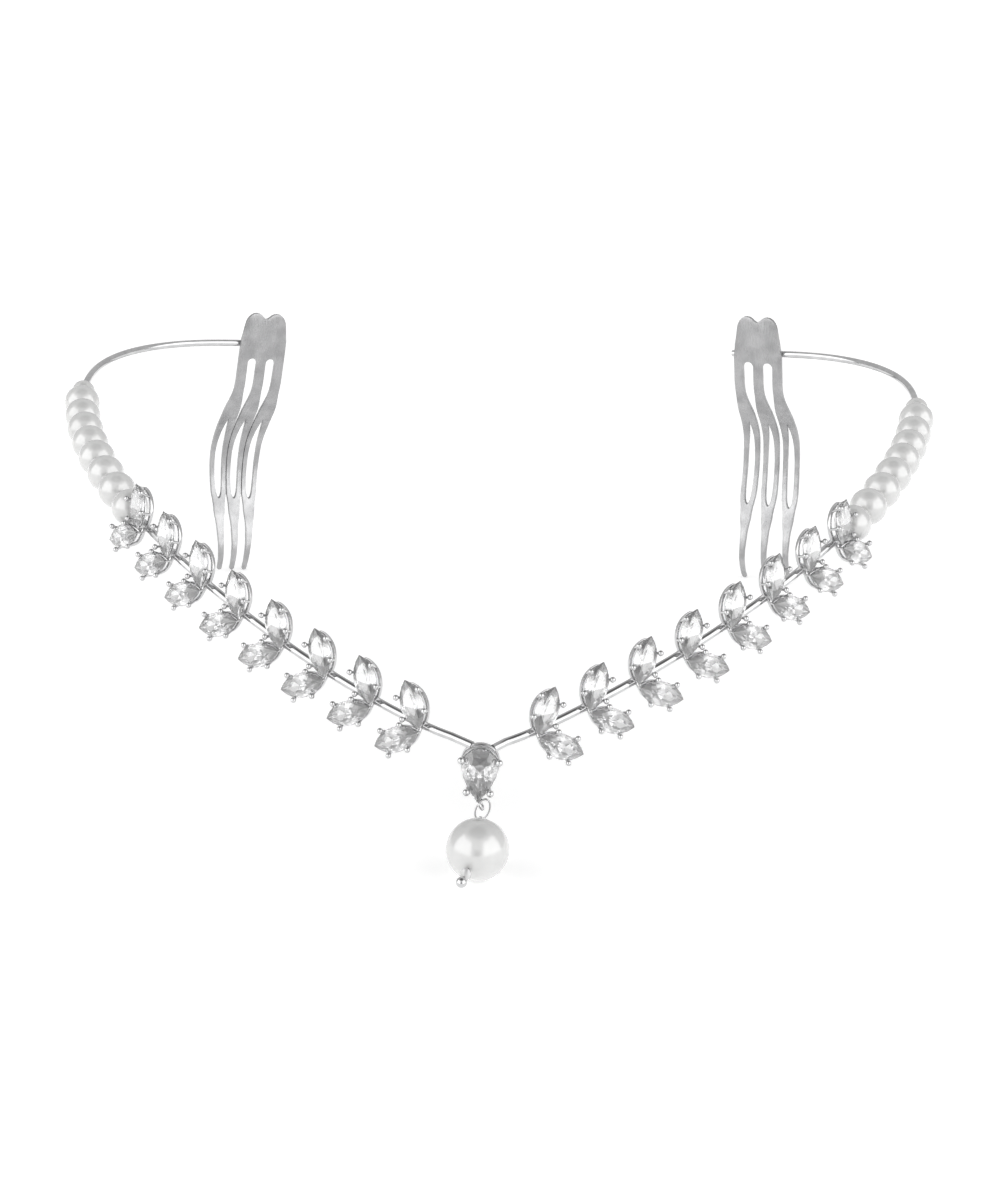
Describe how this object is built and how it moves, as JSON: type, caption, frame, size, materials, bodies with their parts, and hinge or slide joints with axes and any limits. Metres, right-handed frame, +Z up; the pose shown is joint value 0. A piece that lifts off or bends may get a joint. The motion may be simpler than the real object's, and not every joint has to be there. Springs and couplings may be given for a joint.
{
  "type": "tiara",
  "caption": "Wire tiara with pairs of marquise stones set as leaves, strung pearls, a pear stone with a pearl drop at the front, and two hair combs.",
  "frame": {"origin": "on the surface that the tiara stands on, under the middle of its bounding box", "axes": "+Z up, -Y towards the front with the pear stone and the drop, +X to the right as seen from the front"},
  "size_m": [0.1494, 0.1527, 0.0541],
  "materials": {
    "polished_silver": "bright polished silver-coloured plating on wire, settings, head pin and jump ring",
    "clear_stone": "clear colourless cut stone with flat polished facets",
    "pearl": "white pearl with a soft satin lustre",
    "clear_bead": "small translucent polished bead",
    "comb_metal": "silver-coloured plated sheet metal, slightly softer shine"
  },
  "bodies": {
    "root": {"wire_and_settings": "polished_silver", "left_upper_stone_1": "clear_stone", "left_upper_stone_2": "clear_stone", "left_upper_stone_3": "clear_stone", "left_upper_stone_4": "clear_stone", "left_upper_stone_5": "clear_stone", "left_upper_stone_6": "clear_stone", "left_upper_stone_7": "clear_stone", "left_upper_stone_8": "clear_stone", "left_lower_stone_1": "clear_stone", "left_lower_stone_2": "clear_stone", "left_lower_stone_3": "clear_stone", "left_lower_stone_4": "clear_stone", "left_lower_stone_5": "clear_stone", "left_lower_stone_6": "clear_stone", "left_lower_stone_7": "clear_stone", "left_lower_stone_8": "clear_stone", "right_upper_stone_1": "clear_stone", "right_upper_stone_2": "clear_stone", "right_upper_stone_3": "clear_stone", "right_upper_stone_4": "clear_stone", "right_upper_stone_5": "clear_stone", "right_upper_stone_6": "clear_stone", "right_upper_stone_7": "clear_stone", "right_upper_stone_8": "clear_stone", "right_lower_stone_1": "clear_stone", "right_lower_stone_2": "clear_stone", "right_lower_stone_3": "clear_stone", "right_lower_stone_4": "clear_stone", "right_lower_stone_5": "clear_stone", "right_lower_stone_6": "clear_stone", "right_lower_stone_7": "clear_stone", "right_lower_stone_8": "clear_stone", "pear_stone": "clear_stone", "left_bead_string": "pearl", "right_bead_string": "pearl", "drop_bead": "pearl", "tip_bead": "clear_bead", "head_pin": "polished_silver", "jump_ring": "polished_silver", "left_comb": "comb_metal", "right_comb": "comb_metal"}
  },
  "joints": []
}
